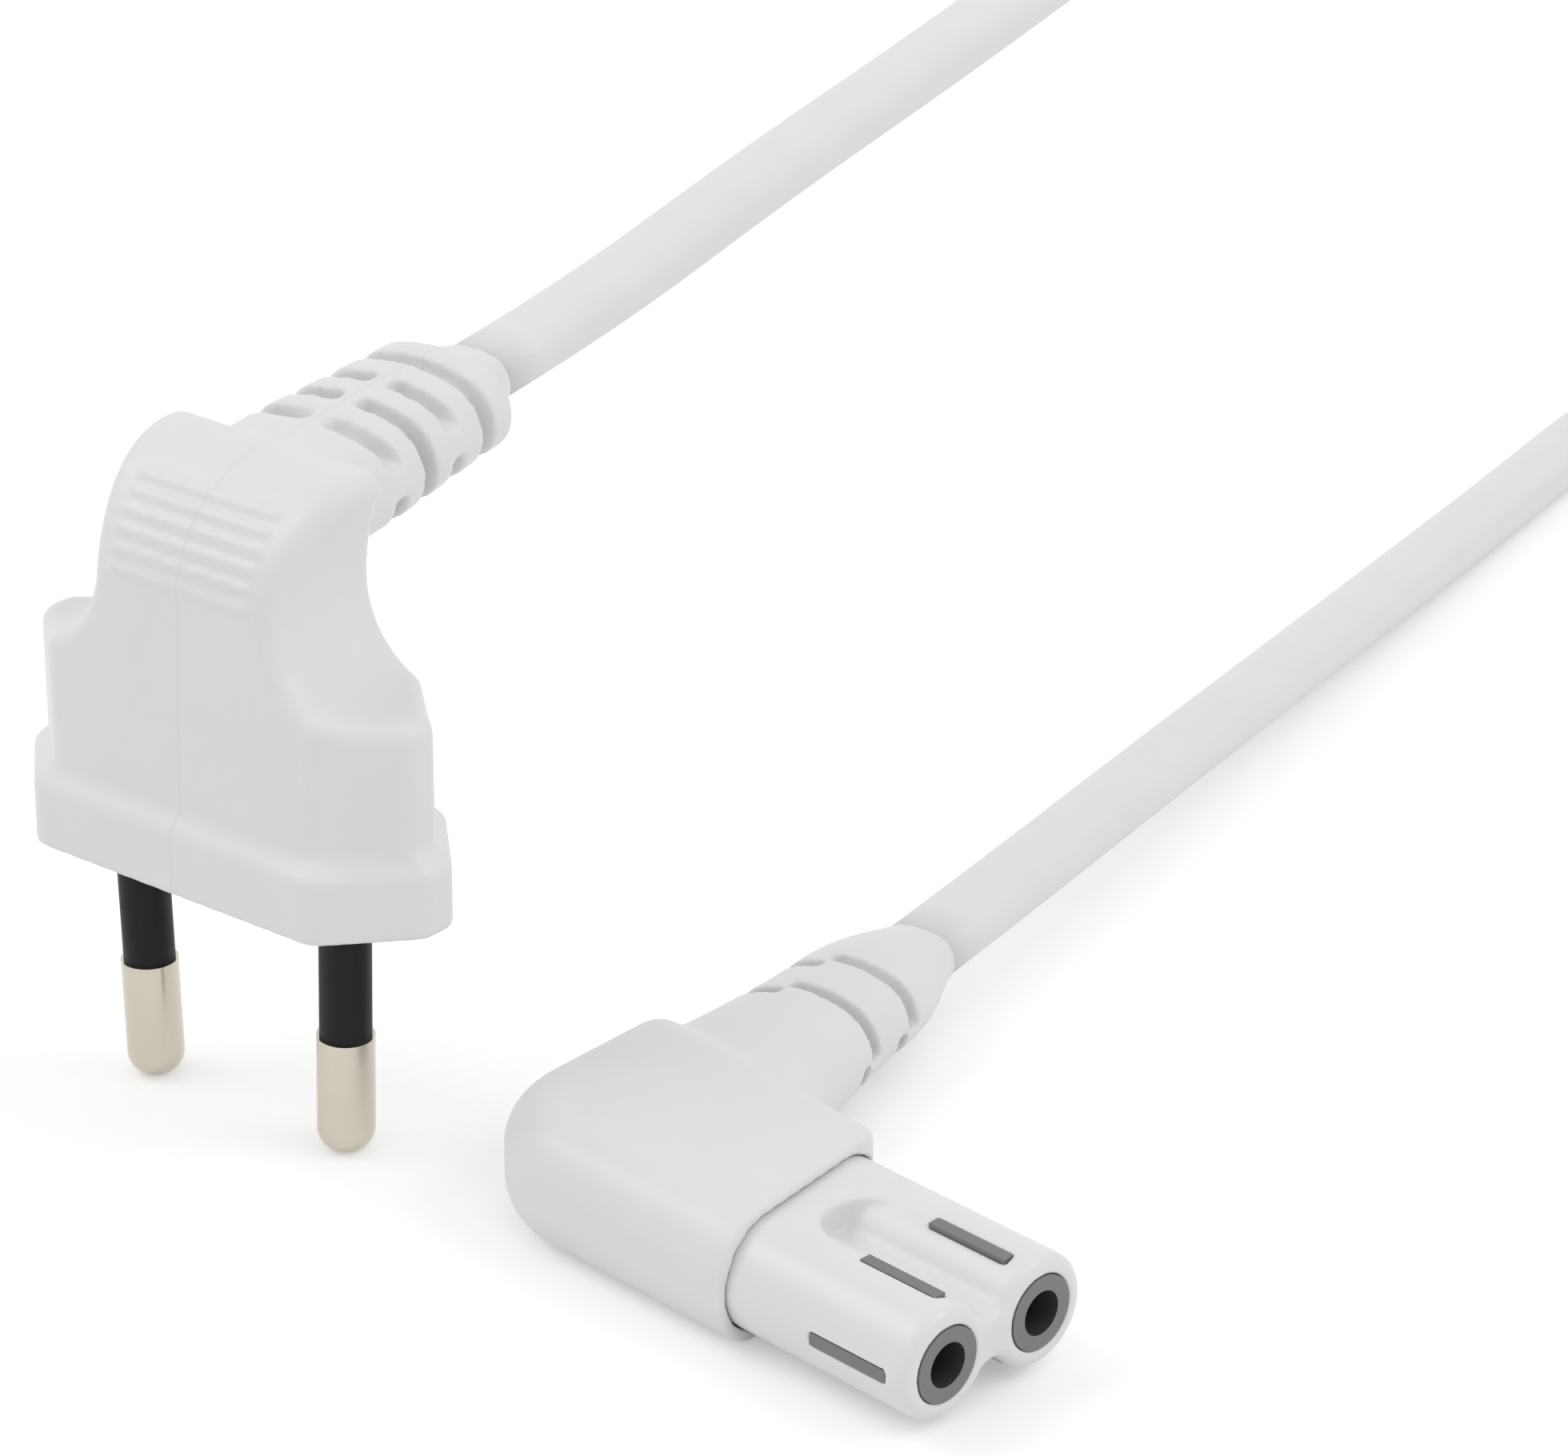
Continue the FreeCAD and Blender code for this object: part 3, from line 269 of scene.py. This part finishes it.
NOSE_MIDDLE = -13.0
RELIEF_ROOT = (-11.5, -4.0, 5.0)
PLUG_NECK = (-41.2, -14.2, 45.8)
PLUG_GRIP = (-40.4, -23.8, 44.7)
GROOVE_ENDS = [(8.4, NOSE_MIDDLE, 8.3), (8.4, NOSE_MIDDLE, 1.0)]
connector_skin = softened("connector_overmould", 0.20, 3, [(RELIEF_ROOT, 9.5, 60)])
plug_skin = softened("plug_overmould", 0.25, 4, [(PLUG_NECK, 6.0, 35), (PLUG_GRIP, 9.0, 3)])
nose_skin = softened("connector_nose_shell", 0.15, 3, [(end, 4.3, 30) for end in GROOVE_ENDS])
plug_skin.data.materials[0] = material("white_vinyl_seamed", seam=PLUG_SEAM, **VINYL)
for skin in (connector_skin, plug_skin, nose_skin):
    shape = skin.evaluated_get(bpy.context.evaluated_depsgraph_get())
    print(skin.name, len(shape.data.polygons), "faces")

# %% [markdown]
# ## The insert's bars
# The grey insulator fills the nose's windows with bars. The CAD bars above and below stop a
# little under the barrels' crown. Their flat tops are raised here, until they show as wide
# between the windows' rims as they do in the photograph. Little light reaches into the
# sockets. That shade is painted: their walls get a near black painted shade, not the ring's
# grey.

# %% Bars up to the barrels' crown, and painted shade in the sockets
NOSE_LEVEL = 4.65
BAR_LEVEL = 3.55
BAR_RAISED = 3.80
HALF_PITCH = 4.3
SOCKET_RADIUS = 1.55
SLACK = 0.01

bars = as_object("insert_skin", frame["nodes"]["connector_insert"].data.copy())
places = positions(bars.data) / MM
height = places[:, 2] - NOSE_LEVEL
on_top = np.abs(np.abs(height) - BAR_LEVEL) < SLACK
places[on_top, 2] = NOSE_LEVEL + np.sign(height[on_top]) * BAR_RAISED
bars.data.vertices.foreach_set("co", (places * MM).ravel())
bars.data.update()
# The sockets' walls get the painted shade, a near black grey standing in for the shade inside
# them.
bars.data.materials.append(finishes["painted_socket_shade"])
for face in bars.data.polygons:
    middle = face.center / MM
    aside = abs(middle.y - NOSE_MIDDLE) - HALF_PITCH
    if np.hypot(aside, middle.z - NOSE_LEVEL) < SOCKET_RADIUS + SLACK:
        face.material_index = 1
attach(bars, "root")
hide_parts("connector_insert")
print("bar corners moved:", int(on_top.sum()))
print("faces of the sockets:", sum(face.material_index for face in bars.data.polygons))

# %% [markdown]
# ## The cord
# Two cores lie side by side in a flat jacket. It leaves the connector level with the floor,
# sinks onto it and runs off to the back. At the other end it climbs out of the plug's strain
# relief, held up by its own stiffness. The rest is wound in a coil that lies out of the view.
#
# A NURBS line that is led by listed points is smooth by itself. The coil's points come
# from a loop: an angle that grows evenly, with a radius and a height that change only where
# the cord steps over to the next place in its bundle.

# %% The cord's line
CORD_WIDTH = 5.8
CORD_HEIGHT = 3.7
FLOOR_ROUTE = [(-17.616, 20.965, 4.65), (-20.111, 32.703, 4.65), (-26.4, 57.9, 4.05),
               (-36.6, 98.1, 2.55), (-42.1, 120.0, 1.9), (-46.6, 138.5, 1.9),
               (-47.8, 154.0, 1.9), (-43.0, 168.0, 1.9)]
HIGH_ROUTE = [(-74.3, 196.0, 13.6), (-74.0, 183.0, 18.5), (-72.5, 168.0, 30.0),
              (-70.0, 150.0, 42.5), (-66.0, 131.0, 53.0), (-61.0, 110.0, 58.5),
              (-56.0, 86.0, 58.0), (-50.9, 57.8, 54.2), (-48.2, 36.0, 50.8),
              (-45.42, 16.13, 47.19), (-43.93, 4.30, 46.05)]
COIL_CENTRE = (-38.0, 214.0)
# The coil's first and last angle, in degrees.
COIL_START = -68.0
COIL_END = 180.0
COIL_TURNS = 6 + (COIL_END - COIL_START) / 360
OUTER, INNER = 36.9, 30.9
LAYERS = [1.9, 5.6, 9.35, 13.1]
# Where along the turns the cord steps: the turn, its radius there and its layer.
STEPS = [(0, OUTER, 0), (0.74, OUTER, 0), (0.88, INNER, 0), (1.58, INNER, 0),
         (1.74, INNER, 1), (2.42, INNER, 1), (2.56, OUTER, 1), (3.26, OUTER, 1),
         (3.42, OUTER, 2), (4.10, OUTER, 2), (4.24, INNER, 2), (4.94, INNER, 2),
         (5.08, INNER, 3), (5.80, INNER, 3), (5.94, OUTER, 3), (COIL_TURNS, OUTER, 3)]
POINTS_PER_TURN = 24


def coil_points():
    """Points of the coil: angle = start + 360 x turn, radius and height read from STEPS."""
    turn = np.arange(0, COIL_TURNS, 1 / POINTS_PER_TURN)
    at, radii, layers = (np.array(column, float) for column in zip(*STEPS))
    heights = np.array(LAYERS)[layers.astype(int)]
    radius, height = np.interp(turn, at, radii), np.interp(turn, at, heights)
    angle = np.radians(COIL_START) + turn * 2 * np.pi
    return np.column_stack([COIL_CENTRE[0] + radius * np.cos(angle),
                            COIL_CENTRE[1] + radius * np.sin(angle), height])


def smooth_line(points, steps=6):
    """Returns the points of a NURBS line of order 3 that begins at the first control point,
    ends at the last and passes close to the rest, with so many steps to each of them."""
    data = bpy.data.curves.new("line", "CURVE")
    data.dimensions = "3D"
    data.resolution_u = steps
    spline = data.splines.new("NURBS")
    spline.points.add(len(points) - 1)
    spline.points.foreach_set("co", np.column_stack([points, np.ones(len(points))]).ravel())
    spline.order_u = 3
    spline.use_endpoint_u = True
    carrier = as_object("line", data)
    bpy.context.view_layer.update()
    mesh = bpy.data.meshes.new_from_object(carrier)
    line = positions(mesh)
    bpy.data.objects.remove(carrier)
    bpy.data.meshes.remove(mesh)
    return line


route = np.vstack([FLOOR_ROUTE, coil_points(), HIGH_ROUTE]) * MM
cord_line = smooth_line(route)
run = np.linalg.norm(np.diff(cord_line, axis=0), axis=1).sum()
print("the cord's line is", round(run, 3), "m long, in", len(cord_line), "points")

# %% Sweep the flat section along the line


def tube(name, rings, finish, closed=False):
    """Skins rings of points, shape (rings, points, 3), into a tube with a cap at each end, or
    into a closed loop. The points go anticlockwise as seen against the tube's direction."""
    index = np.arange(rings.size // 3).reshape(rings.shape[:2])
    side, ahead = np.roll(index, -1, axis=1), np.roll(index, -1, axis=0)
    quads, caps = np.stack([index, side, np.roll(side, -1, axis=0), ahead], axis=-1), []
    if not closed:
        quads, caps = quads[:-1], [index[0, ::-1].tolist(), index[-1].tolist()]
    mesh = bpy.data.meshes.new(name)
    mesh.from_pydata(rings.reshape(-1, 3).tolist(), [], quads.reshape(-1, 4).tolist() + caps)
    mesh.shade_smooth()
    mesh.materials.append(finish)
    return as_object(name, mesh)


def flat_section(width, height, points=32, power=2.6):
    """A flat oval: |x / half width| ^ power + |y / half height| ^ power = 1. The higher the
    power, the flatter its sides and the tighter its corners."""
    angle = np.linspace(0, 2 * np.pi, points, endpoint=False)
    sine, cosine = np.sin(angle), np.cos(angle)
    return np.column_stack([width / 2 * np.sign(cosine) * np.abs(cosine) ** (2 / power),
                            height / 2 * np.sign(sine) * np.abs(sine) ** (2 / power)])


def sweep(name, line, section, finish):
    """Carries a section along a line and keeps its broad side level: across = up x along."""
    along = np.gradient(line, axis=0)
    along /= np.linalg.norm(along, axis=1, keepdims=True)
    across = np.cross([0, 0, 1], along)
    across /= np.linalg.norm(across, axis=1, keepdims=True)
    over = np.cross(along, across)
    rings = (line[:, None] + across[:, None] * section[None, :, :1]
             + over[:, None] * section[None, :, 1:])
    return tube(name, rings, finish)


cord = sweep("cord", cord_line, flat_section(CORD_WIDTH * MM, CORD_HEIGHT * MM),
             finishes["cord_jacket"])
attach(cord, "root")
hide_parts("cord_from_connector", "cord_from_plug", "cord_coil")
print("the cord has", len(cord.data.polygons), "faces")

# %% [markdown]
# ## The tie
# A thin wrap holds the turns together. Its loop follows the bundle's section, a rounded
# rectangle, and its surface swells a little between its two edges.

# %% Tie round the coil
# Where the tie sits, as an angle round the coil in degrees.
TIE_ANGLE = 40
TIE_WIDTH = 9.0
TIE_THICKNESS = 0.6
BUNDLE_WIDTH = 13.6
BUNDLE_HEIGHT = 15.2


def wrap(name, finish):
    """Makes a closed band: a flat section swept round a loop of the bundle's own form."""
    loop = flat_section(BUNDLE_WIDTH, BUNDLE_HEIGHT, points=96, power=5)
    section = flat_section(TIE_WIDTH, TIE_THICKNESS, points=24, power=3.2)
    inwards = -loop / np.linalg.norm(loop, axis=1, keepdims=True)
    depth = section[:, 1] + TIE_THICKNESS / 2
    radius = (OUTER + INNER) / 2 + loop[:, :1] + inwards[:, :1] * depth
    height = BUNDLE_HEIGHT / 2 + loop[:, 1:] + inwards[:, 1:] * depth
    along = np.broadcast_to(section[:, 0], radius.shape)
    angle = np.radians(TIE_ANGLE)
    rings = np.stack([COIL_CENTRE[0] + radius * np.cos(angle) - along * np.sin(angle),
                      COIL_CENTRE[1] + radius * np.sin(angle) + along * np.cos(angle),
                      height], axis=-1) * MM
    return tube(name, rings, finish, closed=True)


tie = wrap("coil_wrap", finishes["tie_plastic"])
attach(tie, "root")
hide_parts("cord_tie")
print("the tie has", len(tie.data.polygons), "faces")

# %% [markdown]
# ## Floor, world and lamps
# The photograph has a plain white ground and soft light from above. The floor adds a little
# white for the camera only, so it turns white and still keeps the shadow, and no light is
# added to the object by it.

# %% Floor and world
FLOOR_SIZE = 4.0
FLOOR_COLOUR = (0.86, 0.86, 0.86, 1)
FLOOR_LIFT = 0.28
SKY_LIGHT = 0.77
PURE_WHITE = (1, 1, 1, 1)


def ray_to_show(tree):
    """Gives 1 for a ray from the camera or one that is mirrored or passes through glass."""
    path = tree.nodes.new("ShaderNodeLightPath")
    total = path.outputs["Is Camera Ray"]
    for name in ("Is Glossy Ray", "Is Transmission Ray"):
        most = tree.nodes.new("ShaderNodeMath")
        most.operation = "MAXIMUM"
        tree.links.new(total, most.inputs[0])
        tree.links.new(path.outputs[name], most.inputs[1])
        total = most.outputs["Value"]
    return total


bpy.ops.mesh.primitive_plane_add(size=FLOOR_SIZE, location=(0, 0, 0))
floor = bpy.context.object
floor.name = "floor"
ground = bpy.data.materials.new("ground")
ground.use_nodes = True
tree = ground.node_tree
shader = tree.nodes["Principled BSDF"]
shader.inputs["Base Color"].default_value = FLOOR_COLOUR
shader.inputs["Roughness"].default_value = 0.7
shader.inputs["Specular IOR Level"].default_value = 0.2
glow = tree.nodes.new("ShaderNodeMath")
glow.operation = "MULTIPLY"
glow.inputs[1].default_value = FLOOR_LIFT
tree.links.new(ray_to_show(tree), glow.inputs[0])
shader.inputs["Emission Color"].default_value = PURE_WHITE
tree.links.new(glow.outputs["Value"], shader.inputs["Emission Strength"])
floor.data.materials.append(ground)

world = bpy.data.worlds.new("world")
scene.world = world
world.use_nodes = True
tree = world.node_tree
background = tree.nodes["Background"]
background.inputs["Color"].default_value = PURE_WHITE
tree.links.new(between(tree, ray_to_show(tree), SKY_LIGHT, 1.0), background.inputs["Strength"])
print("floor:", FLOOR_SIZE, "m wide, sky light:", SKY_LIGHT)

# %% Lamps
# Each lamp has a name, a place and a size in metres, and a power in watts.
LAMPS = [("key", (-0.55, -0.35, 0.75), 0.55, 1.3), ("fill", (0.70, 0.45, 0.80), 0.6, 1.7)]
LAMP_TARGET = (-0.02, 0, 0.02)

for name, place, size, power in LAMPS:
    lamp = as_object(name, bpy.data.lights.new(name, "AREA"))
    lamp.data.shape = "DISK"
    lamp.data.size = size
    lamp.data.energy = power
    lamp.location = place
    lamp.rotation_euler = aim(place, LAMP_TARGET)
scene.view_settings.view_transform = "Standard"
print("lamps:", len(LAMPS))
